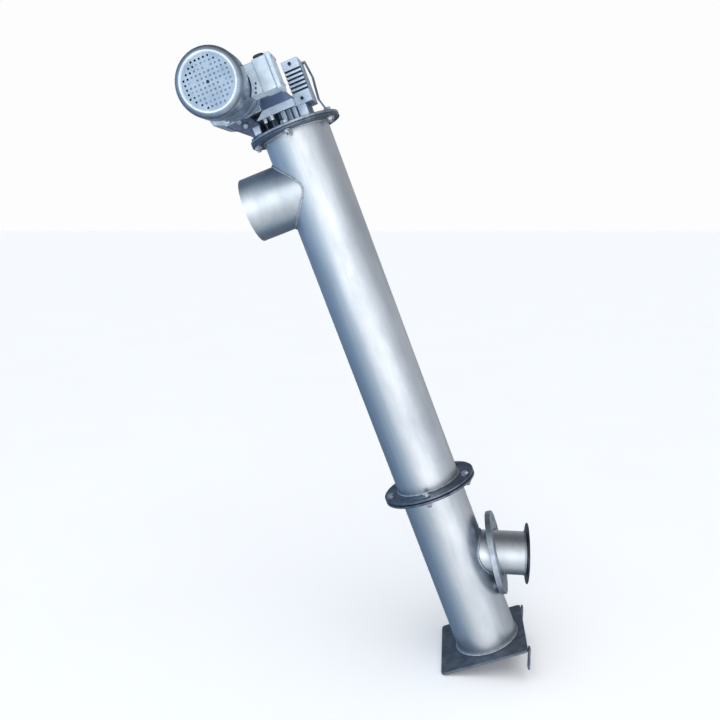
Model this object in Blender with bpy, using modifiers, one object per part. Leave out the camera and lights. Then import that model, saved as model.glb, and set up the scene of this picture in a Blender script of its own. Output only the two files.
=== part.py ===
"""Archimedes screw pump: a screw enclosed in a leaning steel tube, with a geared motor on top.

Everything is in metres, +Z up. The origin is on the tube's axis, at the underside of the base plate.
Pieces that follow the tube hang under the empty tube_axis, which leans by LEAN, so their own Z runs
up the tube. The inlet branch hangs under inlet_axis, which is level, so its own Z runs out of the
branch. The motor's pieces hang under motor_axis, whose Z runs towards the gear case. The base
plate's two legs are upright and hang under none of these.
"""

from math import cos, pi, radians, sin

import bmesh
import bpy
from mathutils import Matrix, Vector

# The lean of the tube from upright, and the gap kept between touching pieces
LEAN = radians(20.7)
GAP = 0.0003
ROUND = 48

# Base plate, and the two legs that stand against its right edge
PLATE_X, PLATE_Y, PLATE_T = 0.236, 0.2345, 0.006
PLATE_SHIFT = -0.013
PLATE_CORNER = 0.010
LEG_T, LEG_Y, LEG_Z = 0.005, (0.095, 0.115), (-0.0142, 0.0425)
LEG_GAP = 0.0008

# Tube and its flanges, with heights measured along the tube from the origin
TUBE_R, TUBE_WALL = 0.08415, 0.003
MID_FLANGE_R, MID_FLANGE_T, MID_FLANGE_TOP = 0.1238, 0.007, 0.479
GASKET_T = 0.002
TOP_FLANGE_R, TOP_FLANGE_T, TOP_FLANGE_TOP = 0.1155, 0.007, 1.4465

# Discharge spout, square to the tube on its low side
SPOUT_R, SPOUT_WALL = 0.0815, 0.003
SPOUT_Z, SPOUT_END = 1.304, 0.176

# Level inlet branch: a pipe with a pressed collar, and the loose flange that hangs on it
INLET_R, INLET_WALL = 0.05715, 0.003
INLET_Z, INLET_END = 0.274, 0.194
COLLAR_R, COLLAR_T = 0.080, 0.006
LOOSE_R, LOOSE_T, LOOSE_BORE_R = 0.110, 0.015, 0.0618
LOOSE_AT, LOOSE_SAG = 0.1128, 0.0002
LOOSE_TILT, LOOSE_YAW = radians(14.4), radians(4)

# Screw and its bottom bearing
SHAFT_R = 0.030
SHAFT_BOTTOM, SHAFT_TOP = 0.012, 1.452
FLIGHT_R, FLIGHT_T, FLIGHT_PITCH = 0.0785, 0.004, 0.150
FLIGHT_BOTTOM, FLIGHT_TURNS, FLIGHT_STEPS = 0.095, 8, 24
BEARING_R, BEARING_H = 0.052, 0.045
BEARING_CLEARANCE = 0.0005

# Drive: a plate on the top flange, a round spigot and a thick slant-ended flange
DRIVE_PLATE_T = 0.007
SPIGOT_R = 0.060
OUTPUT_FLANGE_X, OUTPUT_FLANGE_Z, OUTPUT_FLANGE_SLANT = (-0.069, 0.0317), (1.487, 1.505), 0.0235

# Gear case, as an outline across the tube (X) and along it (Z from its seat), and its front notch
CASE_SEAT = 1.5053
CASE_FRONT, CASE_BACK = -0.078, 0.066
CASE_TOP_X, CASE_TOP = (-0.150, 0.000), 0.096
CASE_OUTLINE = (
    (0.030, 0.000), (0.030, 0.003), (0.022, 0.020), (0.012, 0.030), (0.004, 0.050),
    (CASE_TOP_X[1], CASE_TOP), (CASE_TOP_X[0], CASE_TOP),
    (-0.168, 0.060), (-0.176, 0.027), (-0.172, 0.011), (-0.149, 0.003), (-0.130, -0.015),
    (-0.106, -0.034), (-0.0885, -0.051), (-0.070, -0.051), (-0.063, -0.027), (-0.082, 0.000),
)
NOTCH_X, NOTCH_Y, NOTCH_Z = (-0.0475, 0.060), (-0.100, -0.048), (1.495, 1.536)
CASE_COVER_T, CASE_COVER_INSET = 0.008, 0.010

# Ribbed block on the output flange's right side, and the bent strap beside it
RIB_X, RIB_Y, RIB_Z, RIB_MIDDLE = (0.032, 0.074), (-0.060, 0.020), (1.487, 1.5925), 1.5425
RIB_COUNT, RIB_PITCH, RIB_SLOT, RIB_DEPTH = 6, 0.0098, 0.0050, 0.010
STRAP_Y = (0.004, 0.019)
STRAP_OUTLINE = (
    (0.0865, 1.4541), (0.1040, 1.4541), (0.1040, 1.4581), (0.0910, 1.4581),
    (0.0896, 1.4722), (0.0822, 1.4952), (0.0873, 1.5490), (0.0815, 1.5910),
    (0.0743, 1.5910), (0.0743, 1.5870), (0.0775, 1.5870), (0.0831, 1.5490),
    (0.0780, 1.4952), (0.0852, 1.4722),
)

# Motor, whose axis runs along Y
MOTOR_X, MOTOR_Z = -0.0838, 1.5488
MOTOR_R = 0.061
MOTOR_FRONT, MOTOR_BACK = -0.285, -0.158
MOTOR_FLANGE_R, MOTOR_FLANGE_T = 0.047, 0.010
SHIELD_FRONT_R, SHIELD_BACK_R = 0.057, 0.044
COVER_R, COVER_FRONT, COVER_ROUND = 0.0735, -0.335, 0.013

# Terminal box on the motor's right side, its lid reaching past it all round
BOX_Y = (-0.215, -0.160)
BOX_Z = (1.5105, 1.585)
NECK_X, BOX_X, BOX_LID_X = (-0.050, -0.0043), (-0.0040, 0.0285), (0.0288, 0.0390)
NECK_INSET, LID_REACH = 0.003, 0.003
GLAND_R, GLAND_L, GLAND_X, GLAND_Y = 0.013, 0.007, 0.0120, -0.199

STEEL = ((0.62, 0.65, 0.70), 1.0, 0.34)
BARE_STEEL = ((0.50, 0.52, 0.55), 1.0, 0.42)
DARK_STEEL = ((0.16, 0.18, 0.22), 1.0, 0.45)
CAST_PAINT = ((0.46, 0.52, 0.58), 0.3, 0.40)
BOX_PAINT = ((0.62, 0.68, 0.70), 0.1, 0.42)
BLACK_PLASTIC = ((0.02, 0.02, 0.025), 0.0, 0.50)
GASKET = ((0.05, 0.05, 0.05), 0.0, 0.80)


def clear_scene():
    for obj in list(bpy.data.objects):
        bpy.data.objects.remove(obj, do_unlink=True)


def new_collection(name):
    collection = bpy.data.collections.new(name)
    bpy.context.scene.collection.children.link(collection)
    return collection


def new_empty(name, parent=None, location=(0, 0, 0), rotation=(0, 0, 0)):
    empty = bpy.data.objects.new(name, None)
    parts.objects.link(empty)
    place(empty, parent, location, rotation)
    return empty


def place(obj, parent, location=(0, 0, 0), rotation=(0, 0, 0)):
    obj.parent = parent
    obj.location = location
    obj.rotation_euler = rotation


def finish(obj, look):
    """Gives the object its own material and shades its round faces smooth."""
    colour, metallic, roughness = look
    material = bpy.data.materials.new(obj.name)
    material.use_nodes = True
    shader = material.node_tree.nodes["Principled BSDF"]
    shader.inputs["Base Color"].default_value = (*colour, 1.0)
    shader.inputs["Metallic"].default_value = metallic
    shader.inputs["Roughness"].default_value = roughness
    obj.data.materials.append(material)
    obj.data.shade_smooth()
    obj.data.set_sharp_from_angle(angle=radians(35))
    return obj


def mesh_object(name, bm, collection=None):
    mesh = bpy.data.meshes.new(name)
    bm.to_mesh(mesh)
    bm.free()
    obj = bpy.data.objects.new(name, mesh)
    (collection or parts).objects.link(obj)
    return obj


def turned(name, profile, closed=False, segments=ROUND, collection=None):
    """A solid of revolution about Z. The profile is (radius, height), down the outer side first."""
    bm = bmesh.new()
    points = [bm.verts.new((radius, 0, height)) for radius, height in profile]
    for first, second in zip(points, points[1:]):
        bm.edges.new((first, second))
    if closed:
        bm.edges.new((points[-1], points[0]))
    obj = mesh_object(name, bm, collection)
    screw = obj.modifiers.new("Screw", "SCREW")
    screw.steps = screw.render_steps = segments
    screw.use_merge_vertices = True
    screw.merge_threshold = 0.00001
    screw.use_smooth_shade = True
    return obj


def ring(name, outer, inner, low, high, edge=0.0, segments=ROUND):
    """A flat ring or a length of tube about Z, with its outer edges chamfered."""
    profile = [(outer - edge, high), (outer, high - edge), (outer, low + edge), (outer - edge, low)]
    if edge == 0.0:
        profile = [(outer, high), (outer, low)]
    return turned(name, profile + [(inner, low), (inner, high)], closed=True, segments=segments)


def disc(name, radius, low, high, edge=0.0, collection=None, segments=ROUND):
    """A solid cylinder about Z, with chamfered edges."""
    profile = [(0, high), (radius - edge, high), (radius, high - edge)]
    profile += [(radius, low + edge), (radius - edge, low), (0, low)]
    if edge == 0.0:
        profile = [(0, high), (radius, high), (radius, low), (0, low)]
    return turned(name, profile, collection=collection, segments=segments)


def block(name, x, y, z, corner=0.0, axis=2, edge=0.0, collection=None):
    """A box between the given limits. Its corners along one axis are rounded, its other edges bevelled."""
    bm = bmesh.new()
    bmesh.ops.create_cube(bm, size=1.0)
    size = Vector((x[1] - x[0], y[1] - y[0], z[1] - z[0]))
    centre = Vector((x[0] + x[1], y[0] + y[1], z[0] + z[1])) / 2
    sized = Matrix.Translation(centre) @ Matrix.Diagonal(size).to_4x4()
    bmesh.ops.transform(bm, matrix=sized, verts=bm.verts)
    if corner:
        along = [e for e in bm.edges if abs((e.verts[0].co - e.verts[1].co).normalized()[axis]) > 0.99]
        bmesh.ops.bevel(bm, geom=along, offset=corner, segments=6, profile=0.5, affect="EDGES")
    obj = mesh_object(name, bm, collection)
    if edge:
        bevel = obj.modifiers.new("Bevel", "BEVEL")
        bevel.width = edge
        bevel.segments = 2
        bevel.limit_method = "ANGLE"
        bevel.angle_limit = radians(40)
    return obj


def extruded(name, outline, front, back, edge=0.0):
    """An outline in X and Z, filled and extruded along Y."""
    bm = bmesh.new()
    face = bm.faces.new([bm.verts.new((x, front, z)) for x, z in outline])
    made = bmesh.ops.extrude_face_region(bm, geom=[face])["geom"]
    shift = Vector((0, back - front, 0))
    bmesh.ops.translate(bm, vec=shift, verts=[v for v in made if isinstance(v, bmesh.types.BMVert)])
    bmesh.ops.recalc_face_normals(bm, faces=bm.faces)
    obj = mesh_object(name, bm)
    if edge:
        bevel = obj.modifiers.new("Bevel", "BEVEL")
        bevel.width = edge
        bevel.segments = 3
        bevel.limit_method = "ANGLE"
        bevel.angle_limit = radians(30)
    return obj


def cut(obj, cutter):
    """Takes the cutter's shape out of the object."""
    cutter.hide_render = True
    cutter.display_type = "WIRE"
    boolean = obj.modifiers.new("Cut " + cutter.name, "BOOLEAN")
    boolean.operation = "DIFFERENCE"
    boolean.solver = "EXACT"
    boolean.object = cutter


def cut_rod(name, radius, low, high, parent, location=(0, 0, 0), rotation=(0, 0, 0)):
    """A round cutter along its own Z."""
    rod = disc(name, radius, low, high, collection=cutters)
    place(rod, parent, location, rotation)
    return rod


def make_base():
    x = (PLATE_SHIFT - PLATE_X / 2, PLATE_SHIFT + PLATE_X / 2)
    y = (-PLATE_Y / 2, PLATE_Y / 2)
    plate = block("base_plate", x, y, (0, PLATE_T), corner=PLATE_CORNER)
    place(plate, tube_axis)
    finish(plate, DARK_STEEL)

    inner = x[1] * cos(LEAN) + LEG_GAP
    for name, side in (("front_leg", -1), ("rear_leg", 1)):
        across = sorted(side * y for y in LEG_Y)
        leg = block(name, (inner, inner + LEG_T), across, LEG_Z)
        finish(leg, DARK_STEEL)


def make_tubes():
    mid_joint = MID_FLANGE_TOP - MID_FLANGE_T - GASKET_T / 2
    tube_inner = TUBE_R - TUBE_WALL
    spans = {
        "lower_tube": (PLATE_T + GAP, mid_joint - GASKET_T / 2 - GAP),
        "upper_tube": (mid_joint + GASKET_T / 2 + GAP, TOP_FLANGE_TOP),
    }
    tubes = {}
    for name, (low, high) in spans.items():
        tubes[name] = ring(name, TUBE_R, tube_inner, low, high)
        place(tubes[name], tube_axis)
        finish(tubes[name], STEEL)

    cut(tubes["lower_tube"], cut_rod("inlet_bore", INLET_R - INLET_WALL, 0, 2 * TUBE_R, inlet_axis))
    cut(tubes["upper_tube"], cut_rod("spout_bore", SPOUT_R - SPOUT_WALL, 0, 2 * TUBE_R, spout_axis))

    bore = TUBE_R / cos(pi / ROUND) + GAP
    gasket_low, gasket_high = mid_joint - GASKET_T / 2, mid_joint + GASKET_T / 2
    rings = {
        "lower_tube_flange": (MID_FLANGE_R, gasket_low - MID_FLANGE_T, gasket_low),
        "upper_tube_flange": (MID_FLANGE_R, gasket_high, MID_FLANGE_TOP),
        "top_flange": (TOP_FLANGE_R, TOP_FLANGE_TOP - TOP_FLANGE_T, TOP_FLANGE_TOP),
    }
    for name, (outer, low, high) in rings.items():
        flange = ring(name, outer, bore, low + GAP, high - GAP, edge=0.001)
        place(flange, tube_axis)
        finish(flange, BARE_STEEL)
    gasket = ring("flange_gasket", MID_FLANGE_R - 0.006, tube_inner, gasket_low, gasket_high)
    place(gasket, tube_axis)
    finish(gasket, GASKET)


def make_spout():
    spout = ring("discharge_spout", SPOUT_R, SPOUT_R - SPOUT_WALL, 0.02, SPOUT_END)
    place(spout, spout_axis)
    saddle = cut_rod("spout_saddle", TUBE_R + GAP, SPOUT_Z - 0.2, SPOUT_Z + 0.2, tube_axis)
    cut(spout, saddle)
    finish(spout, STEEL)


def make_inlet():
    pipe = ring("inlet_pipe", INLET_R, INLET_R - INLET_WALL, 0.02, INLET_END - COLLAR_T)
    place(pipe, inlet_axis)
    cut(pipe, cut_rod("inlet_saddle", TUBE_R + GAP, INLET_Z - 0.2, INLET_Z + 0.2, tube_axis))
    finish(pipe, STEEL)

    low = INLET_END - COLLAR_T + GAP
    collar = ring("inlet_collar", COLLAR_R, INLET_R - INLET_WALL, low, INLET_END, edge=0.001)
    place(collar, inlet_axis)
    finish(collar, BARE_STEEL)

    # The level branch's own X points down, so the loose flange sags along it. It hangs out of true both ways.
    loose = ring("loose_flange", LOOSE_R, LOOSE_BORE_R, -LOOSE_T / 2, LOOSE_T / 2, edge=0.001)
    place(loose, inlet_axis, (LOOSE_SAG, 0, LOOSE_AT), (LOOSE_YAW, -LOOSE_TILT, 0))
    finish(loose, BARE_STEEL)


def make_screw():
    shaft = disc("screw_shaft", SHAFT_R, SHAFT_BOTTOM, SHAFT_TOP, edge=0.002)
    place(shaft, tube_axis)
    finish(shaft, BARE_STEEL)

    bm = bmesh.new()
    inner = (SHAFT_R + GAP) / cos(pi / FLIGHT_STEPS)
    bm.edges.new([bm.verts.new((radius, 0, FLIGHT_BOTTOM)) for radius in (FLIGHT_R, inner)])
    flight = mesh_object("screw_flight", bm)
    screw = flight.modifiers.new("Screw", "SCREW")
    screw.steps = screw.render_steps = FLIGHT_STEPS
    screw.screw_offset = FLIGHT_PITCH
    screw.iterations = FLIGHT_TURNS
    solid = flight.modifiers.new("Solidify", "SOLIDIFY")
    solid.thickness = FLIGHT_T
    solid.offset = 0.0
    place(flight, tube_axis)
    finish(flight, BARE_STEEL)

    bottom = PLATE_T + GAP
    bore = SHAFT_R + BEARING_CLEARANCE
    bearing = ring("bottom_bearing", BEARING_R, bore, bottom, bottom + BEARING_H, edge=0.003)
    place(bearing, tube_axis)
    finish(bearing, CAST_PAINT)


def make_gearbox():
    plate_low = TOP_FLANGE_TOP + GAP
    plate_high = TOP_FLANGE_TOP + DRIVE_PLATE_T
    plate = ring("drive_plate", TOP_FLANGE_R, SHAFT_R + BEARING_CLEARANCE, plate_low, plate_high, edge=0.001)
    place(plate, tube_axis)
    finish(plate, BARE_STEEL)

    spigot = disc("spigot", SPIGOT_R, plate_high + GAP, OUTPUT_FLANGE_Z[0] - GAP)
    place(spigot, tube_axis)
    finish(spigot, CAST_PAINT)

    (left, right), (low, high) = OUTPUT_FLANGE_X, OUTPUT_FLANGE_Z
    outline = ((left, low), (right, low), (right, high), (left + OUTPUT_FLANGE_SLANT, high))
    flange = extruded("output_flange", outline, CASE_FRONT, CASE_BACK, edge=0.001)
    place(flange, tube_axis)
    finish(flange, CAST_PAINT)

    outline = [(x, CASE_SEAT + z) for x, z in CASE_OUTLINE]
    case = extruded("gear_case", outline, CASE_FRONT, CASE_BACK, edge=0.004)
    place(case, tube_axis)
    notch = block("case_notch", NOTCH_X, NOTCH_Y, NOTCH_Z, collection=cutters)
    place(notch, tube_axis)
    cut(case, notch)
    finish(case, CAST_PAINT)

    top = CASE_SEAT + CASE_TOP
    cover = block(
        "gear_case_cover", (CASE_TOP_X[0] + CASE_COVER_INSET, CASE_TOP_X[1] - CASE_COVER_INSET),
        (CASE_FRONT + CASE_COVER_INSET, CASE_BACK - CASE_COVER_INSET),
        (top + GAP, top + CASE_COVER_T), corner=0.012, edge=0.001,
    )
    place(cover, tube_axis)
    finish(cover, CAST_PAINT)


def make_side_block():
    ribs = block("ribbed_block", RIB_X, RIB_Y, RIB_Z, edge=0.001)
    place(ribs, tube_axis)
    bm = bmesh.new()
    for i in range(RIB_COUNT):
        z = RIB_MIDDLE + (i - (RIB_COUNT - 1) / 2) * RIB_PITCH
        size = Vector((RIB_X[1] - RIB_X[0] + 0.01, 2 * RIB_DEPTH, RIB_SLOT))
        centre = Vector(((RIB_X[0] + RIB_X[1]) / 2, RIB_Y[0], z))
        bmesh.ops.create_cube(bm, matrix=Matrix.Translation(centre) @ Matrix.Diagonal(size).to_4x4())
    slots = mesh_object("rib_slots", bm, cutters)
    place(slots, tube_axis)
    cut(ribs, slots)
    finish(ribs, CAST_PAINT)

    strap = extruded("side_strap", STRAP_OUTLINE, *STRAP_Y)
    place(strap, tube_axis)
    finish(strap, BARE_STEEL)


def make_motor():
    flange_back = CASE_FRONT - GAP
    flange_front = flange_back - MOTOR_FLANGE_T
    shield_back = flange_front - GAP
    shield = [(0, shield_back), (SHIELD_BACK_R, shield_back), (SHIELD_FRONT_R, MOTOR_BACK), (0, MOTOR_BACK)]
    pieces = (
        disc("motor_flange", MOTOR_FLANGE_R, flange_front, flange_back, edge=0.001),
        turned("motor_end_shield", shield),
        disc("motor_body", MOTOR_R, MOTOR_FRONT, MOTOR_BACK - GAP, edge=0.002),
    )
    for piece in pieces:
        place(piece, motor_axis)
        finish(piece, CAST_PAINT)

    arc = [
        (COVER_R - COVER_ROUND * (1 - cos(a)), COVER_FRONT + COVER_ROUND * (1 - sin(a)))
        for a in (i * pi / 12 for i in range(7))
    ]
    cover_back = MOTOR_FRONT - GAP
    profile = [(0, cover_back), (COVER_R, cover_back)] + arc + [(0, COVER_FRONT)]
    cover = turned("fan_cover", profile)
    place(cover, motor_axis)
    finish(cover, CAST_PAINT)


def make_terminal_box():
    base_y = (BOX_Y[0] + NECK_INSET, BOX_Y[1] - NECK_INSET)
    base_z = (BOX_Z[0] + NECK_INSET, BOX_Z[1] - NECK_INSET)
    neck = block("terminal_box_neck", NECK_X, base_y, base_z)
    place(neck, tube_axis)
    cut(neck, cut_rod("motor_saddle", MOTOR_R + GAP, MOTOR_FRONT, MOTOR_BACK, motor_axis))
    finish(neck, BOX_PAINT)
    for name, x, reach in (("terminal_box", BOX_X, 0.0), ("terminal_box_lid", BOX_LID_X, LID_REACH)):
        y, z = ((low - reach, high + reach) for low, high in (BOX_Y, BOX_Z))
        piece = block(name, x, y, z, corner=0.004, axis=0)
        place(piece, tube_axis)
        finish(piece, BOX_PAINT)
    gland = disc("cable_gland", GLAND_R, 0, GLAND_L, edge=0.001, segments=24)
    place(gland, tube_axis, (GLAND_X, GLAND_Y, BOX_Z[1] + GAP))
    finish(gland, BLACK_PLASTIC)


clear_scene()
parts = new_collection("archimedes_screw_pump")
cutters = new_collection("cutters")
tube_axis = new_empty("tube_axis", None, (0, 0, 0), (0, -LEAN, 0))
spout_axis = new_empty("spout_axis", tube_axis, (0, 0, SPOUT_Z), (0, -pi / 2, 0))
inlet_axis = new_empty("inlet_axis", tube_axis, (0, 0, INLET_Z), (0, pi / 2 + LEAN, 0))
motor_axis = new_empty("motor_axis", tube_axis, (MOTOR_X, 0, MOTOR_Z), (-pi / 2, 0, 0))
make_base()
make_tubes()
make_spout()
make_inlet()
make_screw()
make_gearbox()
make_side_block()
make_motor()
make_terminal_box()
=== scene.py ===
"""Looks of the archimedes screw pump: leaning stainless tube, bolted flanges, geared motor on top.

Everything is in metres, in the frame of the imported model. Pieces that follow the tube are drawn in
the tube's own frame, whose Z runs up the tube, and are leaned over by TUBE_FRAME.
"""
from math import atan2, cos, hypot, pi, radians, sin, sqrt

import bmesh
import bpy
from mathutils import Euler, Matrix, Vector


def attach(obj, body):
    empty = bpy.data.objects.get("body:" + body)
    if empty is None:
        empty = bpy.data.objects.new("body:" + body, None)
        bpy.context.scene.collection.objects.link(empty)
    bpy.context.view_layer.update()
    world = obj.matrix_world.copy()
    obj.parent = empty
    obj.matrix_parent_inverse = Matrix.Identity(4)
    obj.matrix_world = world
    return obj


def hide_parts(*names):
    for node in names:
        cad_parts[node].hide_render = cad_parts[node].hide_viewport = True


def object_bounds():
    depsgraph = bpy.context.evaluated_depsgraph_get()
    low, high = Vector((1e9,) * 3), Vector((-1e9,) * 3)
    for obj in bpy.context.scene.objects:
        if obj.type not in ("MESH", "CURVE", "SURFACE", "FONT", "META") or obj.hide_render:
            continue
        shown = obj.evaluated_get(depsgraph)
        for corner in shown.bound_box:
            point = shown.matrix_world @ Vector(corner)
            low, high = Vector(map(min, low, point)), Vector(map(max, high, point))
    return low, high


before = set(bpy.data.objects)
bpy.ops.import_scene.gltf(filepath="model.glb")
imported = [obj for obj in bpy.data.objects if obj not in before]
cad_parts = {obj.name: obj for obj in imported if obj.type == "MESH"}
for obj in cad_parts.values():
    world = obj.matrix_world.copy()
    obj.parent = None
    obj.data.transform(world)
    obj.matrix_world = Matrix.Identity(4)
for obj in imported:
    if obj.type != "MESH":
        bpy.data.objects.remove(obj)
cad_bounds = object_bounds()

LEAN = radians(20.7)
TUBE_FRAME = Matrix.Rotation(-LEAN, 4, "Y")

# The camera stands where the photographer stood
CAMERA_AT = (-0.1231, -1.9265, 1.1611)
CAMERA_TURN = (radians(78.727), radians(0.179), radians(6.723))
CAMERA_LENS = 37.8934

# Tube and flanges, by height along the tube
TUBE_R, TUBE_WALL = 0.08415, 0.003
PLATE_TOP = 0.006
MID_LOW, MID_JOINT, MID_HIGH = 0.463, 0.471, 0.479
MID_BOLTS_R, TOP_BOLTS_R = 0.108, 0.1015
TOP_LOW, TOP_HIGH, DRIVE_HIGH = 1.4395, 1.4465, 1.4535
SPOUT_R, SPOUT_WALL, SPOUT_Z, SPOUT_END = 0.0815, 0.003, 1.304, 0.176
INLET_R, INLET_WALL, INLET_Z, INLET_END = 0.05715, 0.003, 0.274, 0.194
COLLAR_R, COLLAR_T = 0.080, 0.006
LOOSE_R, LOOSE_T, LOOSE_BORE, LOOSE_AT = 0.110, 0.015, 0.0618, 0.1128
LOOSE_SAG, LOOSE_TILT, LOOSE_YAW = 0.0002, radians(14.4), radians(4)
FLANGE_BOLTS, FLANGE_BOLT_START = 5, radians(-91)

# Motor, along its own axis
MOTOR_X, MOTOR_Z, MOTOR_R = -0.0838, 1.5488, 0.061
MOTOR_FRONT, MOTOR_BACK = -0.285, -0.158
COVER_R, COVER_FRONT, COVER_ROUND = 0.0735, -0.335, 0.013

# Gear case and terminal box, in the tube's frame
CASE_FRONT, CASE_COVER_TOP = -0.078, 1.6093
OUTPUT_FLANGE_LOW = 1.487
RIB_FRONT = -0.060
BOX_X, LID_X = (-0.0040, 0.0285), (0.0288, 0.0390)
BOX_Y, BOX_Z, LID_REACH, NECK_FRONT = (-0.215, -0.160), (1.5105, 1.585), 0.003, -0.212

GAP = 0.0003            # between neighbouring pieces
GASKET_ROOM = 0.0013    # from the middle of the mid flange's joint to either tube
THREAD_PITCH, THREAD_SIDES = 0.0015, 16
ROUND = 128             # sides of a large round piece

SPOUT_FRAME = TUBE_FRAME @ Matrix.Translation((0, 0, SPOUT_Z)) @ Matrix.Rotation(-pi / 2, 4, "Y")
INLET_FRAME = TUBE_FRAME @ Matrix.Translation((0, 0, INLET_Z)) @ Matrix.Rotation(pi / 2 + LEAN, 4, "Y")
MOTOR_FRAME = TUBE_FRAME @ Matrix.Translation((MOTOR_X, 0, MOTOR_Z)) @ Matrix.Rotation(-pi / 2, 4, "X")
LOOSE_FRAME = (
    INLET_FRAME @ Matrix.Translation((LOOSE_SAG, 0, LOOSE_AT))
    @ Euler((LOOSE_YAW, -LOOSE_TILT, 0)).to_matrix().to_4x4()
)


def linear(hex_colour):
    """Turns an sRGB hex colour into the linear colour that Blender's sockets take."""
    channels = [int(hex_colour[i:i + 2], 16) / 255 for i in (1, 3, 5)]
    return tuple(c / 12.92 if c <= 0.04045 else ((c + 0.055) / 1.055) ** 2.4 for c in channels) + (1.0,)


def add(tree, kind, inputs=None, **settings):
    """Adds a node to a tree, with its settings. Inputs take values, hex colours, sockets, or nodes
    that give their first output."""
    node = tree.nodes.new(kind)
    for name, value in settings.items():
        setattr(node, name, value)
    for name, value in (inputs or {}).items():
        socket = node.inputs[name]
        if isinstance(value, bpy.types.Node):
            value = value.outputs[0]
        if isinstance(value, bpy.types.NodeSocket):
            tree.links.new(value, socket)
        else:
            socket.default_value = linear(value) if isinstance(value, str) else value
    return node


def surface(name, metallic, turn=(0, LEAN, 0)):
    """Starts a material. Its pattern's coordinates are turned so that their Z runs up the tube."""
    material = bpy.data.materials.new(name)
    material.use_nodes = True
    tree = material.node_tree
    shader = tree.nodes["Principled BSDF"]
    shader.inputs["Metallic"].default_value = metallic
    place = add(tree, "ShaderNodeTexCoord").outputs["Object"]
    turned = add(tree, "ShaderNodeMapping", {"Vector": place, "Rotation": turn})
    return material, tree, shader, turned.outputs["Vector"]


def pattern(tree, place, per_metre, detail, roughness, stretch=(1, 1, 1)):
    """An uneven pattern with so many patches a metre, stretched along an axis by a number below 1."""
    scaled = add(tree, "ShaderNodeMapping", {"Vector": place, "Scale": stretch})
    return add(tree, "ShaderNodeTexNoise", {
        "Vector": scaled, "Scale": per_metre, "Detail": detail, "Roughness": roughness}).outputs["Fac"]


# Sockets of a Mix node that take and give colours
MIX_FIRST, MIX_SECOND, MIXED = 6, 7, 2


def mottle(tree, marks, low, high, most, first, second):
    """Turns one colour into another, by at most this share, where a pattern goes from low to high."""
    share = add(tree, "ShaderNodeMapRange", {
        "Value": marks, "From Min": low, "From Max": high, "To Min": 0, "To Max": most})
    return add(tree, "ShaderNodeMix", {
        0: share, MIX_FIRST: first, MIX_SECOND: second}, data_type="RGBA").outputs[MIXED]


def set_look(tree, shader, colour, *gloss):
    """Sets the colour, and a roughness that adds up what each (pattern, low, high) gives."""
    total = None
    for marks, low, high in gloss:
        share = add(tree, "ShaderNodeMapRange", {
            "Value": marks, "From Min": 0.3, "From Max": 0.7, "To Min": low, "To Max": high})
        total = share if total is None else add(tree, "ShaderNodeMath", {0: total, 1: share}, operation="ADD")
    tree.links.new(colour, shader.inputs["Base Color"])
    tree.links.new(total.outputs[0], shader.inputs["Roughness"])


def relief(tree, shader, height, millimetres):
    """Lets a pattern stand out of the surface."""
    raised = add(tree, "ShaderNodeBump", {
        "Height": height, "Distance": millimetres / 1000, "Strength": 0.5})
    tree.links.new(raised.outputs["Normal"], shader.inputs["Normal"])


def pickled_stainless(name, light, dark):
    """Stainless sheet, rolled, welded and pickled in acid: satin, bluish silver, faintly cloudy."""
    material, tree, shader, place = surface(name, 1.0)
    clouds = pattern(tree, place, 14, 4, 0.6, (1, 1, 0.35))
    grain = pattern(tree, place, 900, 2, 0.5, (1, 1, 0.12))
    runs = pattern(tree, place, 60, 3, 0.6, (1, 1, 0.05))
    tone = mottle(tree, clouds, 0.35, 0.7, 1, light, dark)
    tone = mottle(tree, runs, 0.45, 0.75, 0.35, tone, "#b1b9c2")
    set_look(tree, shader, tone, (clouds, 0.32, 0.44), (grain, -0.04, 0.05))
    height = add(tree, "ShaderNodeMath", {0: grain, 1: clouds}, operation="ADD")
    relief(tree, shader, height, 0.10)
    return material


def mill_steel(name, light, dark, rough=(0.42, 0.58), metallic=1.0):
    """Plain steel plate as cut and drilled: dull grey, with mottled scale and fine scratches."""
    material, tree, shader, place = surface(name, metallic)
    patches = pattern(tree, place, 38, 5, 0.62)
    scratches = pattern(tree, place, 220, 3, 0.6, (1, 0.15, 1))
    tone = mottle(tree, patches, 0.32, 0.68, 1, light, dark)
    tone = mottle(tree, scratches, 0.62, 0.80, 0.4, tone, light)
    set_look(tree, shader, tone, (patches, *rough))
    relief(tree, shader, scratches, 0.08)
    return material


def within(tree, place, ranges):
    """A mask that is 1 inside the given ranges of the tube's frame, by axis, and 0 outside."""
    axes = add(tree, "ShaderNodeSeparateXYZ", {"Vector": place}).outputs
    mask = None
    for axis, (low, high) in ranges.items():
        for limit, operation in ((low, "GREATER_THAN"), (high, "LESS_THAN")):
            inside = add(tree, "ShaderNodeMath", {0: axes[axis], 1: limit}, operation=operation)
            mask = inside if mask is None else add(
                tree, "ShaderNodeMath", {0: mask, 1: inside}, operation="MULTIPLY")
    return mask


def cast_paint(name, light, dark, rough=(0.30, 0.42), metallic=0.55, grimy=()):
    """Die-cast aluminium under thin silver-grey enamel: fine orange peel, patches, and painted shade in the
    recesses.
    """
    material, tree, shader, place = surface(name, metallic)
    patches = pattern(tree, place, 30, 4, 0.6)
    peel = pattern(tree, place, 700, 2, 0.5)
    tone = mottle(tree, patches, 0.35, 0.7, 1, light, dark)
    # Each range turns unevenly to a darker colour: painted shade in a recess or under a part
    for ranges, grime in grimy:
        worn = add(tree, "ShaderNodeMapRange", {
            "Value": pattern(tree, place, 120, 3, 0.6), "From Min": 0.35, "From Max": 0.7,
            "To Min": 1.0, "To Max": 0.72})
        dirt = add(tree, "ShaderNodeMath", {0: within(tree, place, ranges), 1: worn},
                   operation="MULTIPLY")
        tone = mottle(tree, dirt, 0, 1, 1, tone, grime)
    set_look(tree, shader, tone, (patches, *rough))
    relief(tree, shader, peel, 0.06)
    return material


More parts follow.
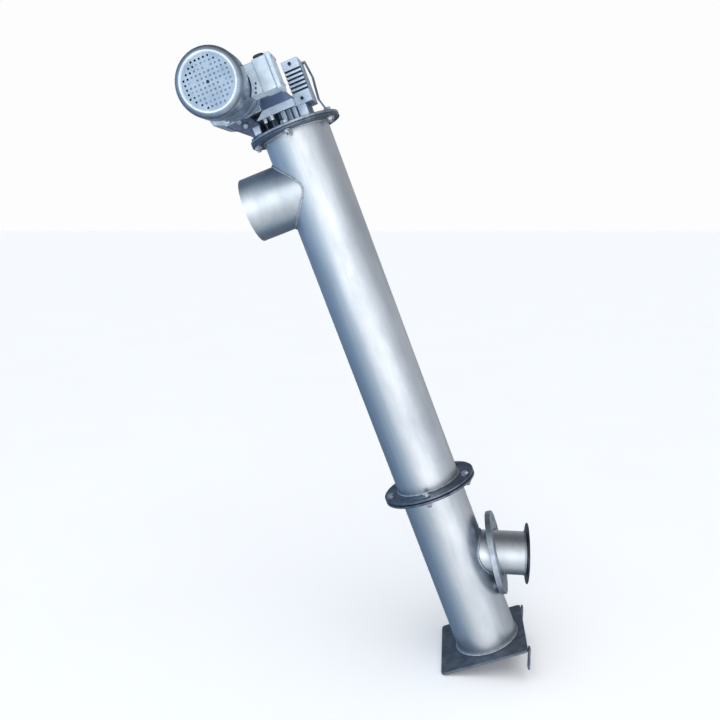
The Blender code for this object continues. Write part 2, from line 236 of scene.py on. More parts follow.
def plated(name, metallic, per_metre, light, dark, rough):
    """Steel under a thin coat of zinc or black oxide: glossy, dulled in patches."""
    material, tree, shader, place = surface(name, metallic)
    patches = pattern(tree, place, per_metre, 3, 0.6)
    set_look(tree, shader, mottle(tree, patches, 0.35, 0.7, 1, light, dark), (patches, *rough))
    return material


def weld_metal():
    """Stainless weld metal: bright ripples with straw and blue heat tint at the toes."""
    material, tree, shader, place = surface("stainless_weld", 1.0)
    tint = pattern(tree, place, 120, 3, 0.6)
    tone = mottle(tree, tint, 0.30, 0.50, 1, "#8d9aad", "#cdd5dd")
    tone = mottle(tree, tint, 0.50, 0.72, 1, tone, "#a89c8c")
    set_look(tree, shader, tone, (tint, 0.28, 0.45))
    return material


def moulded(name, per_metre, light, dark, rough, millimetres):
    """Rubber or plastic from a mould: matt to satin, with a fine grain."""
    material, tree, shader, place = surface(name, 0.0)
    grain = pattern(tree, place, per_metre, 2, 0.5)
    set_look(tree, shader, mottle(tree, grain, 0, 1, 1, light, dark), (grain, *rough))
    relief(tree, shader, grain, millimetres)
    return material


STAINLESS = pickled_stainless("pickled_stainless_tube", "#d9dde2", "#c1c8cf")
SPOUT_STEEL = pickled_stainless("pickled_stainless_branch", "#d9dfe5", "#bfc8d0")
FLANGE_STEEL = mill_steel("mill_scale_flange_steel", "#858f9e", "#5b6475")
DRIVE_PLATE_STEEL = mill_steel("machined_plate_steel", "#b3bfcb", "#8593a4", (0.34, 0.48))
STRAP_STEEL = mill_steel("rolled_strap_steel", "#6f7d8f", "#4b5869", (0.36, 0.50))
DARK_STEEL = mill_steel("primed_base_steel", "#717b86", "#525d6c", (0.45, 0.60), metallic=0.75)
COLLAR_STEEL = mill_steel("pressed_collar_stainless", "#5d6776", "#343d4c", (0.30, 0.44))
LOOSE_STEEL = mill_steel("drilled_flange_aluminium", "#c4ccd4", "#9ca8b5", (0.38, 0.52))
SCREW_STEEL = mill_steel("screw_flight_steel", "#8b95a2", "#5c6673", (0.40, 0.55))
BEARING_IRON = mill_steel("cast_bearing_iron", "#5b6069", "#3d4148", (0.60, 0.75), metallic=0.85)
SILVER_ENAMEL = cast_paint("silver_enamel_on_cast_aluminium", "#b4c6d9", "#8fa3ba")
# Output flange band: a paler copy of the silver enamel, with painted light on the band
BAND_ENAMEL = cast_paint("pale_enamel_output_flange", "#d3e2f0", "#aec3d8", (0.30, 0.42), 0.3)
# Gear case: painted shade, darker in the recess under the terminal box and darkest on the slanted chin at its
# lower left
CASE_ENAMEL = cast_paint("silver_enamel_gear_case", "#a3b2c2", "#8292a5", grimy=(
    ({"X": (-0.047, 0.060), "Y": (-0.070, -0.040), "Z": (1.500, 1.5345)}, "#8499bd"),
    ({"X": (-0.165, -0.060), "Y": (-0.085, 0.070), "Z": (1.440, 1.5040)}, "#46536c"),
))
# Ribbed block: painted shade, dark in the grooves between the ribs
RIB_ENAMEL = cast_paint("silver_enamel_ribbed_block", "#bccbda", "#9aadc3", grimy=(
    ({"X": (0.030, 0.080), "Y": (-0.0592, -0.0490), "Z": (1.512, 1.573)}, "#33405f"),
))
# A darker copy of the silver enamel with painted shade: on the motor frame, the spigot, the motor's end
# shield and the middle foot under the flange
SHADED_ENAMEL = cast_paint("silver_enamel_motor_frame", "#8799ad", "#6a7c92")
COVER_ENAMEL = cast_paint("silver_enamel_pressed_cover", "#9dafc2", "#899db3", (0.34, 0.46), 0.35)
# The cover's rolled bead: a paler copy of the cover enamel, with a painted highlight
BEAD_ENAMEL = cast_paint("rubbed_enamel_cover_bead", "#dbe6ee", "#c0cfdb", (0.24, 0.36), 0.3)
# The cover's shoulder and side: the gloss is the enamel's, the darker colour is painted shade
COVER_SIDE = cast_paint("glossy_enamel_cover_side", "#93a1b0", "#7c8a9b", (0.14, 0.24), 0.85)
BOX_ENAMEL = cast_paint("pale_enamel_terminal_box", "#cbdae6", "#b0c2d2", (0.30, 0.42), 0.25)
# Zinc-plated fasteners: bright bluish silver
ZINC = plated("zinc_plated_steel", 1.0, 260, "#d5dde6", "#8f9ba9", (0.22, 0.42))
# Black-oxide socket screws: near black with a soft oily sheen
BLACK_SCREW = plated("black_oxide_steel", 0.8, 300, "#20252e", "#39424f", (0.35, 0.5))
WELD = weld_metal()
# Gasket sheet: matt, nearly black
GASKET = moulded("gasket_rubber_sheet", 800, "#15171a", "#26292d", (0.65, 0.85), 0.05)
FAN_GREY = cast_paint("grey_fan_behind_grille", "#9cb1cb", "#859bb8", (0.5, 0.6), 0.0)
# Moulded polyamide of the cable gland and behind the fan: satin with a fine spark texture
PLASTIC = moulded("moulded_black_polyamide", 1100, "#1b1f27", "#2b313c", (0.42, 0.60), 0.04)

PIECES = []


def finish_piece(obj, material, replaced=(), sharp=35):
    if material is not None:
        obj.data.materials.clear()
        obj.data.materials.append(material)
    obj.data.shade_smooth()
    obj.data.set_sharp_from_angle(angle=radians(sharp))
    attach(obj, "root")
    if replaced:
        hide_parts(*replaced)
    PIECES.append(obj)
    return obj


def in_scene(name, data):
    obj = bpy.data.objects.new(name, data)
    bpy.context.scene.collection.objects.link(obj)
    return obj


def as_object(name, bm, matrix=TUBE_FRAME):
    """A bmesh drawn in the frame given by matrix, as an object that sits at the origin."""
    bmesh.ops.remove_doubles(bm, verts=bm.verts, dist=0.000005)
    bmesh.ops.recalc_face_normals(bm, faces=bm.faces)
    bm.transform(matrix)
    mesh = bpy.data.meshes.new(name)
    bm.to_mesh(mesh)
    bm.free()
    return in_scene(name, mesh)


def baked(obj):
    """Turns an object and its modifiers into a plain mesh object of the same name."""
    bpy.context.view_layer.update()
    evaluated = obj.evaluated_get(bpy.context.evaluated_depsgraph_get())
    mesh = bpy.data.meshes.new_from_object(evaluated)
    name = obj.name
    obj.name = name + "_raw"
    new = in_scene(name, mesh)
    bpy.data.objects.remove(obj)
    return new


def cut_with(obj, *cutters):
    """Takes the cutters' shapes out of an object, and removes the cutters."""
    for cutter in cutters:
        boolean = obj.modifiers.new("Cut", "BOOLEAN")
        boolean.operation = "DIFFERENCE"
        boolean.solver = "EXACT"
        boolean.object = cutter
    new = baked(obj)
    for cutter in cutters:
        bpy.data.objects.remove(cutter)
    return new


def lathe(bm, profile, segments, closed=True, centre=(0, 0, 0)):
    """Revolves (radius, height) points about Z. A closed profile makes a ring, an open one ends on Z."""
    rings = []
    for radius, height in profile:
        if radius < 1e-6:
            rings.append([bm.verts.new((centre[0], centre[1], centre[2] + height))])
            continue
        rings.append([
            bm.verts.new((centre[0] + radius * cos(2 * pi * i / segments),
                          centre[1] + radius * sin(2 * pi * i / segments), centre[2] + height))
            for i in range(segments)])
    pairs = list(zip(rings, rings[1:])) + ([(rings[-1], rings[0])] if closed else [])
    for first, second in pairs:
        for i in range(segments):
            j = (i + 1) % segments
            if len(first) == 1 and len(second) == 1:
                continue
            if len(first) == 1:
                bm.faces.new((first[0], second[j], second[i]))
            elif len(second) == 1:
                bm.faces.new((first[i], first[j], second[0]))
            else:
                bm.faces.new((first[i], first[j], second[j], second[i]))
    return bm


def ring_profile(outer, inner, low, high, edge):
    return [(inner, low), (outer - edge, low), (outer, low + edge), (outer, high - edge),
            (outer - edge, high), (inner, high)]


def wall_profile(outer, wall, low, high, step=0.02):
    """A tube's wall, with rings along its length so that cuts leave no long slivers."""
    count = max(2, round((high - low) / step))
    heights = [low + (high - low) * i / count for i in range(count + 1)]
    return [(outer, h) for h in heights] + [(outer - wall, h) for h in reversed(heights)]


def solid(bm, radius, low, high, segments):
    """Adds a plain cylinder about Z to a bmesh."""
    return lathe(bm, [(0, low), (radius, low), (radius, high), (0, high)], segments, closed=False)


def rod(name, radius, low, high, matrix, segments=ROUND):
    return as_object(name, solid(bmesh.new(), radius, low, high, segments), matrix)


def true_round(obj, matrix, radii):
    """Gives faces that lie on a round wall about the frame's Z the wall's own normals."""
    mesh = obj.data
    inverse = matrix.inverted()
    turn = matrix.to_3x3()
    normals = [None] * len(mesh.loops)
    for polygon in mesh.polygons:
        face = inverse.to_3x3() @ polygon.normal
        centre = inverse @ polygon.center
        out = Vector((centre.x, centre.y, 0))
        round_face = False
        if abs(face.z) < 0.2 and any(abs(out.length - r) < 0.0006 for r in radii):
            round_face = abs(out.normalized().dot(face)) > 0.96
        for index in polygon.loop_indices:
            if round_face:
                place = inverse @ mesh.vertices[mesh.loops[index].vertex_index].co
                radial = Vector((place.x, place.y, 0)).normalized()
                radial = radial if radial.dot(face) > 0 else -radial
                normals[index] = (turn @ radial).normalized()
            else:
                normals[index] = polygon.normal
    mesh.normals_split_custom_set(normals)


def hex_prism(bm, across, low, high, chamfer=True, turn=0.0):
    """A hexagon head or nut, with the usual turned chamfer on its upper end."""
    corner = across / sqrt(3)
    flat = across / 2
    drop = 0.10 * across if chamfer else 0.0
    crown_r = flat * (0.94 if chamfer else 1.0)
    base, top, crown = [], [], []
    for k in range(12):
        angle = turn + k * pi / 6
        is_corner = k % 2 == 0
        radius = corner if is_corner else flat
        x, y = radius * cos(angle), radius * sin(angle)
        base.append(bm.verts.new((x, y, low)))
        top.append(bm.verts.new((x, y, high - (drop if is_corner else drop * 0.35))))
        crown.append(bm.verts.new((crown_r * cos(angle), crown_r * sin(angle), high)))
    for k in range(12):
        j = (k + 1) % 12
        bm.faces.new((base[k], base[j], top[j], top[k]))
        bm.faces.new((top[k], top[j], crown[j], crown[k]))
    bm.faces.new(list(reversed(base)))
    bm.faces.new(crown)


def thread(bm, radius, low, high, pitch=THREAD_PITCH):
    """A threaded end, drawn as rings a thread apart with a chamfered tip."""
    root, tip, tip_length = radius * 0.88, radius * 0.74, 0.0008
    count = max(1, round((high - low) / pitch))
    step = (high - low) / count
    profile = [(0, low), (root, low)]
    for k in range(count):
        profile += [(radius, low + (k + 0.5) * step), (root, low + (k + 1) * step)]
    profile += [(tip, high + tip_length), (0, high + tip_length)]
    lathe(bm, profile, THREAD_SIDES, closed=False)


def flange_bolt(size, grip_low, grip_high):
    """A bolt through a flange pair: head and washer on top, nut, washer and thread end below."""
    across, thick = 1.65 * size, 0.68 * size
    washer_r, washer_bore, washer_t, washer_edge = size * 1.05, size * 0.3, 0.0016, 0.0003
    sunk = 0.001
    bm = bmesh.new()
    for low in (grip_high, grip_low - washer_t):
        lathe(bm, ring_profile(washer_r, washer_bore, low, low + washer_t, washer_edge), 24)
    hex_prism(bm, across, grip_high + washer_t, grip_high + washer_t + thick)
    flip = bmesh.new()
    hex_prism(flip, across, 0, thick, turn=0.3)
    upside_down = Matrix.Translation((0, 0, grip_low - washer_t)) @ Matrix.Scale(-1, 4, (0, 0, 1))
    bmesh.ops.transform(flip, matrix=upside_down, verts=flip.verts)
    bmesh.ops.reverse_faces(flip, faces=flip.faces)
    held = bpy.data.meshes.new("held")
    flip.to_mesh(held)
    flip.free()
    bm.from_mesh(held)
    bpy.data.meshes.remove(held)
    nut_low = grip_low - washer_t - thick
    thread(bm, size / 2, nut_low - 0.5 * size, nut_low + sunk)
    solid(bm, size / 2, grip_low - sunk, grip_high + sunk, 16)
    return bm


# Geometry Nodes

def new_tree(name, inputs):
    """An empty Geometry Nodes tree with a Geometry input and output, and named inputs with defaults."""
    tree = bpy.data.node_groups.new(name, "GeometryNodeTree")
    tree.interface.new_socket("Geometry", in_out="INPUT", socket_type="NodeSocketGeometry")
    tree.interface.new_socket("Geometry", in_out="OUTPUT", socket_type="NodeSocketGeometry")
    for label, kind, value in inputs:
        socket = tree.interface.new_socket(label, in_out="INPUT", socket_type=kind)
        if value is not None:
            socket.default_value = value
    start = tree.nodes.new("NodeGroupInput")
    return tree, start.outputs


def end_tree(tree, geometry, material):
    """Makes instances real, sets the material and links the tree's output."""
    real = add(tree, "GeometryNodeRealizeInstances", {"Geometry": geometry})
    finished = add(tree, "GeometryNodeSetMaterial", {"Geometry": real, "Material": material})
    end = tree.nodes.new("NodeGroupOutput")
    tree.links.new(finished.outputs[0], end.inputs["Geometry"])
    return tree


def run_tree(obj, tree, **values):
    """Puts the tree on an object with its inputs set, and turns the result into a plain mesh."""
    modifier = obj.modifiers.new("Nodes", "NODES")
    modifier.node_group = tree
    for item in tree.interface.items_tree:
        if getattr(item, "in_out", "") == "INPUT" and item.name in values:
            modifier[item.identifier] = values[item.name]
    return baked(obj)


def repeat_tree():
    """Sets one piece out round a circle."""
    tree, given = new_tree("set_out_round_circle", [
        ("Piece", "NodeSocketObject", None), ("Count", "NodeSocketInt", 8),
        ("Circle Radius", "NodeSocketFloat", 0.1), ("Start Angle", "NodeSocketFloat", 0.0),
        ("Material", "NodeSocketMaterial", None)])
    circle = add(tree, "GeometryNodeMeshCircle", {
        "Vertices": given["Count"], "Radius": given["Circle Radius"]})
    spin = add(tree, "ShaderNodeCombineXYZ", {"Z": given["Start Angle"]})
    turned = add(tree, "GeometryNodeTransform", {"Geometry": circle, "Rotation": spin})
    index = add(tree, "GeometryNodeInputIndex")
    step = add(tree, "ShaderNodeMath", {0: 2 * pi, 1: given["Count"]}, operation="DIVIDE")
    angle = add(tree, "ShaderNodeMath", {0: index, 1: step, 2: given["Start Angle"]},
                operation="MULTIPLY_ADD")
    outward = add(tree, "ShaderNodeCombineXYZ", {"Z": angle})
    info = add(tree, "GeometryNodeObjectInfo", {"Object": given["Piece"]})
    placed = add(tree, "GeometryNodeInstanceOnPoints", {
        "Points": turned, "Instance": info.outputs["Geometry"], "Rotation": outward})
    return end_tree(tree, placed.outputs[0], given["Material"])


def along_tree():
    """Sets one piece on each point of a mesh."""
    tree, given = new_tree("set_on_points", [
        ("Piece", "NodeSocketObject", None), ("Material", "NodeSocketMaterial", None)])
    info = add(tree, "GeometryNodeObjectInfo", {"Object": given["Piece"]})
    placed = add(tree, "GeometryNodeInstanceOnPoints", {
        "Points": given["Geometry"], "Instance": info.outputs["Geometry"]})
    return end_tree(tree, placed.outputs[0], given["Material"])


def weld_tree():
    """Draws a rippled weld bead along the edges of a mesh."""
    tree, given = new_tree("weld_bead", [
        ("Bead Radius", "NodeSocketFloat", 0.003), ("Ripple Spacing", "NodeSocketFloat", 0.003),
        ("Ripple", "NodeSocketFloat", 0.16), ("Wander", "NodeSocketFloat", 0.0006),
        ("Material", "NodeSocketMaterial", None)])
    line = add(tree, "GeometryNodeMeshToCurve", {"Mesh": given["Geometry"]})
    step = add(tree, "ShaderNodeMath", {0: given["Ripple Spacing"], 1: 4.0}, operation="DIVIDE")
    fine = add(tree, "GeometryNodeResampleCurve", {"Curve": line, "Length": step},
               mode="LENGTH")
    index = add(tree, "GeometryNodeInputIndex")
    quarter = add(tree, "ShaderNodeMath", {0: index, 1: pi / 2}, operation="MULTIPLY")
    wave = add(tree, "ShaderNodeMath", {0: quarter}, operation="SINE")
    rippled = add(tree, "ShaderNodeMath", {0: wave, 1: given["Ripple"], 2: 1.0},
                  operation="MULTIPLY_ADD")
    swollen = add(tree, "GeometryNodeSetCurveRadius", {
        "Curve": fine, "Radius": rippled})
    place = add(tree, "GeometryNodeInputPosition")
    drift = add(tree, "ShaderNodeTexNoise", {"Vector": place, "Scale": 90.0})
    centred = add(tree, "ShaderNodeVectorMath", {0: drift.outputs["Color"], 1: (0.5, 0.5, 0.5)},
                  operation="SUBTRACT")
    small = add(tree, "ShaderNodeVectorMath", {0: centred, "Scale": given["Wander"]},
                operation="SCALE")
    moved = add(tree, "GeometryNodeSetPosition", {"Geometry": swollen, "Offset": small})
    section = add(tree, "GeometryNodeCurvePrimitiveCircle", {
        "Resolution": 10, "Radius": given["Bead Radius"]})
    bead = add(tree, "GeometryNodeCurveToMesh", {
        "Curve": moved, "Profile Curve": section, "Fill Caps": True})
    scale = [s for s in bead.inputs if s.name == "Scale"]
    if scale:
        radius = add(tree, "GeometryNodeInputRadius")
        tree.links.new(radius.outputs[0], scale[0])
    return end_tree(tree, bead.outputs[0], given["Material"])


def grille_tree():
    """Punches round holes in rows through a sheet, inside a circle, leaving out a band round the hub."""
    tree, given = new_tree("punched_grille", [
        ("Pitch", "NodeSocketFloat", 0.011), ("Hole", "NodeSocketFloat", 0.006),
        ("Rows", "NodeSocketInt", 11),
        ("Outer Radius", "NodeSocketFloat", 0.05), ("Hub Radius", "NodeSocketFloat", 0.006),
        ("Height", "NodeSocketFloat", 0.0), ("Depth", "NodeSocketFloat", 0.01),
        ("Material", "NodeSocketMaterial", None)])
    steps = add(tree, "ShaderNodeMath", {0: given["Rows"], 1: 1.0}, operation="SUBTRACT")
    width = add(tree, "ShaderNodeMath", {0: steps, 1: given["Pitch"]}, operation="MULTIPLY")
    grid = add(tree, "GeometryNodeMeshGrid", {
        "Size X": width, "Size Y": width,
        "Vertices X": given["Rows"], "Vertices Y": given["Rows"]})
    place = add(tree, "GeometryNodeInputPosition")
    distance = add(tree, "ShaderNodeVectorMath", {0: place}, operation="LENGTH")
    far, near = (
        add(tree, "FunctionNodeCompare", {"A": distance.outputs["Value"], "B": given[limit]},
            data_type="FLOAT", operation=operation).outputs[0]
        for limit, operation in (("Outer Radius", "GREATER_THAN"), ("Hub Radius", "LESS_THAN")))
    either = add(tree, "FunctionNodeBooleanMath", {0: far, 1: near}, operation="OR")
    kept = add(tree, "GeometryNodeDeleteGeometry", {
        "Geometry": grid, "Selection": either})
    lifted = add(tree, "ShaderNodeCombineXYZ", {"Z": given["Height"]})
    raised = add(tree, "GeometryNodeTransform", {
        "Geometry": kept, "Translation": lifted})
    half = add(tree, "ShaderNodeMath", {0: given["Hole"], 1: 2.0}, operation="DIVIDE")
    punch = add(tree, "GeometryNodeMeshCylinder", {
        "Vertices": 12, "Radius": half, "Depth": given["Depth"]})
    punches = add(tree, "GeometryNodeInstanceOnPoints", {
        "Points": raised, "Instance": punch})
    real = add(tree, "GeometryNodeRealizeInstances", {"Geometry": punches})
    cut = add(tree, "GeometryNodeMeshBoolean", operation="DIFFERENCE")
    tree.links.new(given["Geometry"], cut.inputs["Mesh 1"])
    tree.links.new(real.outputs[0], cut.inputs["Mesh 2"])
    return end_tree(tree, cut.outputs["Mesh"], given["Material"])


SET_ROUND = repeat_tree()
SET_ON_POINTS = along_tree()
WELD_BEAD = weld_tree()
PUNCHED = grille_tree()


def hidden_piece(name, bm):
    """A pattern piece for a tree to repeat, which is removed after use."""
    obj = as_object(name, bm, Matrix.Identity(4))
    obj.data.shade_smooth()
    obj.data.set_sharp_from_angle(angle=radians(35))
    return obj


def place_mesh(obj, matrix):
    obj.data.transform(matrix)
    if matrix.is_negative:
        obj.data.flip_normals()
    return obj


def plain_object(name, points, edges=()):
    """An object made of points, and of edges between them, for a tree to work on."""
    mesh = bpy.data.meshes.new(name)
    mesh.from_pydata(points, edges, [])
    return in_scene(name, mesh)


def bolts_round(name, bm, count, radius, start, matrix):
    """Sets a piece, drawn about Z, out round a circle."""
    piece = hidden_piece(name + "_pattern", bm)
    made = run_tree(plain_object(name, []), SET_ROUND, **{
        "Piece": piece, "Count": count, "Circle Radius": radius, "Start Angle": start, "Material": ZINC})
    bpy.data.objects.remove(piece)
    return finish_piece(place_mesh(made, matrix), ZINC)


def bolts_at(name, bm, points, matrix, material=ZINC):
    """Sets a piece, drawn about Z, on points given in the same frame."""
    piece = hidden_piece(name + "_pattern", bm)
    made = run_tree(plain_object(name, points), SET_ON_POINTS, Piece=piece, Material=material)
    bpy.data.objects.remove(piece)
    return finish_piece(place_mesh(made, matrix), material)


def weld(name, points, matrix, radius, spacing=0.0035):
    """Lays a weld bead along a closed line."""
    count = len(points)
    line = plain_object(name, points, [(i, (i + 1) % count) for i in range(count)])
    made = run_tree(line, WELD_BEAD, **{"Bead Radius": radius, "Ripple Spacing": spacing, "Material": WELD})
    return finish_piece(place_mesh(made, matrix), WELD, sharp=60)


def circle_points(radius, height):
    count = 160
    angles = (2 * pi * i / count for i in range(count))
    return [(radius * cos(a), radius * sin(a), height) for a in angles]


# Tubes and branches

def make_tube_shells():
    cut_length, saddle_reach, branch_start, branch_step = 0.16, 0.2, 0.02, 0.01
    for node, low, high, bore, branch_frame in (
        ("lower_tube", PLATE_TOP + GAP, MID_JOINT - GASKET_ROOM, INLET_R - INLET_WALL, INLET_FRAME),
        ("upper_tube", MID_JOINT + GASKET_ROOM, TOP_HIGH, SPOUT_R - SPOUT_WALL, SPOUT_FRAME),
    ):
        branch_cut = rod(node + "_cut", bore, 0, cut_length, branch_frame)
        wall = lathe(bmesh.new(), wall_profile(TUBE_R, TUBE_WALL, low, high), 144)
        shell = cut_with(as_object(node + "_shell", wall), branch_cut)
        finish_piece(shell, STAINLESS, (node,))
        true_round(shell, TUBE_FRAME, (TUBE_R, TUBE_R - TUBE_WALL))

    for node, radius, wall, end, height, matrix, sides in (
        ("discharge_spout", SPOUT_R, SPOUT_WALL, SPOUT_END, SPOUT_Z, SPOUT_FRAME, ROUND),
        ("inlet_pipe", INLET_R, INLET_WALL, INLET_END - COLLAR_T, INLET_Z, INLET_FRAME, 112),
    ):
        profile = wall_profile(radius, wall, branch_start, end, branch_step)
        branch = as_object(node + "_shell", lathe(bmesh.new(), profile, sides), matrix)
        saddle = rod(node + "_saddle", TUBE_R + GAP, height - saddle_reach, height + saddle_reach, TUBE_FRAME)
        branch = cut_with(branch, saddle)
        finish_piece(branch, SPOUT_STEEL, (node,))
        true_round(branch, matrix, (radius, radius - wall))


def make_welds():
    count, proud = 180, 0.0008
    angles = [2 * pi * i / count for i in range(count)]
    saddle = []
    for a in angles:
        y, z = (SPOUT_R + proud) * sin(a), (SPOUT_R + proud) * cos(a)
        saddle.append((-sqrt((TUBE_R + proud) ** 2 - y * y), y, SPOUT_Z + z))
    weld("spout_weld", saddle, TUBE_FRAME, 0.0028)

    # The inlet's saddle is found along the branch: a point of the pipe that lies on the tube's wall
    turn = TUBE_FRAME.inverted() @ INLET_FRAME
    branch = []
    for a in angles:
        low, high = 0.0, 0.3
        for _ in range(40):
            middle = (low + high) / 2
            p = turn @ Vector(((INLET_R + proud) * cos(a), (INLET_R + proud) * sin(a), middle))
            if hypot(p.x, p.y) < TUBE_R + proud:
                low = middle
            else:
                high = middle
        branch.append(tuple(p))
    weld("inlet_weld", branch, TUBE_FRAME, 0.0026)

    # (name, how far outside the tube, height, bead radius)
    for name, outside, height, bead in (
        ("base_weld", 0.0012, PLATE_TOP + 0.0012, 0.0032),
        ("mid_flange_weld_upper", 0.0006, MID_HIGH + 0.0006, 0.0026),
        ("mid_flange_weld_lower", 0.0006, MID_LOW - 0.0006, 0.0026),
        ("top_flange_weld", 0.0006, TOP_LOW - 0.0006, 0.0024),
    ):
        weld(name, circle_points(TUBE_R + outside, height), TUBE_FRAME, bead)
    collar_line = circle_points(INLET_R + 0.0001, INLET_END - COLLAR_T - 0.0030)
    weld("collar_weld", collar_line, INLET_FRAME, 0.0012, 0.002)


def make_collar():
    """A stub end pressed from the pipe's wall: its rim turns out through a small fillet."""
    fillet, flatter, face = 0.0045, 0.55, INLET_END
    bore = INLET_R - INLET_WALL
    back = INLET_END - COLLAR_T + GAP
    outer = [(INLET_R + fillet * (1 - cos(a)), back + fillet * flatter * sin(a))
             for a in (i * pi / 12 for i in range(7))]
    profile = [(INLET_R, back)] + outer[1:] + [
        (COLLAR_R - 0.0015, face - 0.0030), (COLLAR_R, face - 0.0020), (COLLAR_R, face - 0.0008),
        (COLLAR_R - 0.0010, face), (bore + 0.002, face), (bore, face - 0.0015), (bore, back)]
    collar = as_object("pressed_collar", lathe(bmesh.new(), profile, ROUND), INLET_FRAME)
    finish_piece(collar, COLLAR_STEEL, ("inlet_collar",))


def make_loose_flange():
    """Backing flange with eight 18 mm holes on a 180 mm circle, as cut for a DN 100 pipe."""
    holes, circle_r, hole_r, drill_reach = 8, 0.090, 0.009, 0.02
    half, edge, lead_in = LOOSE_T / 2, 0.0012, 0.002
    profile = [(LOOSE_BORE + lead_in, -half), (LOOSE_R - edge, -half), (LOOSE_R, -half + edge),
               (LOOSE_R, half - edge), (LOOSE_R - edge, half), (LOOSE_BORE + lead_in, half),
               (LOOSE_BORE, half - lead_in), (LOOSE_BORE, -half + lead_in)]
    ring = as_object("drilled_loose_flange", lathe(bmesh.new(), profile, 144), LOOSE_FRAME)
    drills = []
    for k in range(holes):
        a = pi / 8 + k * pi / 4
        spot = Matrix.Translation((circle_r * cos(a), circle_r * sin(a), 0))
        drills.append(rod("drill_%d" % k, hole_r, -drill_reach, drill_reach, LOOSE_FRAME @ spot, 32))
    ring = cut_with(ring, *drills)
    finish_piece(ring, LOOSE_STEEL, ("loose_flange",))


def make_flange_bolts():
    for name, low, high, circle_r in (("mid_flange_bolts", MID_LOW, MID_HIGH, MID_BOLTS_R),
                                      ("top_flange_bolts", TOP_LOW, DRIVE_HIGH, TOP_BOLTS_R)):
        bolt = flange_bolt(0.010, low, high)
        bolts_round(name, bolt, FLANGE_BOLTS, circle_r, FLANGE_BOLT_START, TUBE_FRAME)


# Motor

def make_fan_cover():
    """Pressed cover: a rounded shoulder, a rolled bead, and a flat front punched with rows of holes."""
    back, front, wall = MOTOR_FRONT - GAP, COVER_FRONT, 0.0016
    proud, dished = 0.0004, 0.0026
    bead_r, flat, centre_r = COVER_R - COVER_ROUND, front + dished, 0.030
    outer = [(COVER_R, back), (COVER_R, (back + front) / 2)]
    outer += [(bead_r + COVER_ROUND * cos(a), front + proud + (COVER_ROUND - proud) * (1 - sin(a)))
              for a in (i * pi / 24 for i in range(13))]
    outer += [(bead_r - 0.0012, front + 0.0005), (bead_r - 0.0024, front + 0.0014),
              (bead_r - 0.0034, flat - 0.0002), (bead_r - 0.0044, flat), (centre_r, flat), (0, flat)]
    inner = [(0, flat + wall), (centre_r, flat + wall), (bead_r - 0.006, flat + wall),
             (COVER_R - wall - 0.004, front + COVER_ROUND), (COVER_R - wall, front + COVER_ROUND + 0.006),
             (COVER_R - wall, back)]
    shell = as_object("punched_fan_cover", lathe(bmesh.new(), outer + inner, ROUND), Matrix.Identity(4))
    shell = run_tree(shell, PUNCHED, **{
        "Pitch": 0.0096, "Hole": 0.0048, "Rows": 13, "Outer Radius": 0.0535, "Hub Radius": 0.006,
        "Height": flat, "Depth": 0.008, "Material": COVER_ENAMEL})
    shell.data.materials.clear()
    # The front keeps the cover enamel; the bead takes a paler copy with a painted highlight, the shoulder and
    # side a darker, glossier copy with painted shade
    for material in (COVER_ENAMEL, BEAD_ENAMEL, COVER_SIDE):
        shell.data.materials.append(material)
    bead_inner, bead_outer = bead_r - 0.0036, bead_r + 0.0018
    for face in shell.data.polygons:
        radius = face.center.xy.length
        face.material_index = 0 if radius < bead_inner else 1 if radius < bead_outer else 2
    shell = finish_piece(place_mesh(shell, MOTOR_FRAME), None, ("fan_cover",), sharp=30)
    for face in shell.data.polygons:
        face.use_smooth = abs(face.normal.y) < 0.999

    # The fan close behind the holes stands off the middle, so the holes at one side show the dark inside
    fan_r, fan_edge, fan_front, fan_back = 0.048, 0.046, flat + 0.0028, flat + 0.0066
    fan = bmesh.new()
    lathe(fan, [(0, fan_front), (fan_edge, fan_front), (fan_r, flat + 0.0042), (fan_r, fan_back),
                (0, fan_back)], 96, closed=False, centre=(0.0065, 0.0040, 0))
    solid(fan, 0.016, flat + 0.0070, back - 0.002, 48)
    finish_piece(as_object("fan_behind_grille", fan, MOTOR_FRAME), FAN_GREY)
    lining = solid(bmesh.new(), 0.0716, back - 0.006, back - 0.002, 96)
    finish_piece(as_object("shield_behind_fan", lining, MOTOR_FRAME), PLASTIC)

    screw = bmesh.new()
    lathe(screw, [(0, -0.001), (0.0042, -0.001), (0.0042, 0.0012), (0.0030, 0.0022), (0, 0.0024)],
          20, closed=False)
    seat, from_back = COVER_R - 0.0028, 0.010
    for k in range(4):
        spot = (MOTOR_FRAME @ Matrix.Rotation(pi / 4 + k * pi / 2, 4, "Z")
                @ Matrix.Translation((seat, 0, back - from_back)) @ Matrix.Rotation(pi / 2, 4, "Y"))
        finish_piece(as_object("cover_screw_%d" % k, screw.copy(), spot), ZINC)
    screw.free()
    hub = bmesh.new()
    lathe(hub, [(0, flat - 0.0010), (0.0030, flat - 0.0010), (0.0036, flat - 0.0002), (0.0036, flat + 0.001),
                (0, flat + 0.001)], 24, closed=False)
    finish_piece(as_object("grille_hub_plug", hub, MOTOR_FRAME), BLACK_SCREW)


def make_motor_frame():
    """Smooth drawn motor frame, with a turned band at each end."""
    front, back, r = MOTOR_FRONT, MOTOR_BACK - GAP, MOTOR_R
    front_band_r, middle_r = r - 0.0005, r - 0.0025
    profile = [(0, front), (r - 0.0020, front), (front_band_r, front + 0.0015), (front_band_r, front + 0.012),
               (middle_r, front + 0.014), (middle_r, back - 0.020), (r, back - 0.017), (r, back - 0.002),
               (r - 0.0015, back), (0, back)]
    motor = as_object("drawn_motor_frame", lathe(bmesh.new(), profile, ROUND, closed=False), MOTOR_FRAME)
    # The motor frame takes the darker enamel with painted shade
    finish_piece(motor, SHADED_ENAMEL, ("motor_body",))


# Screws and small castings of the drive

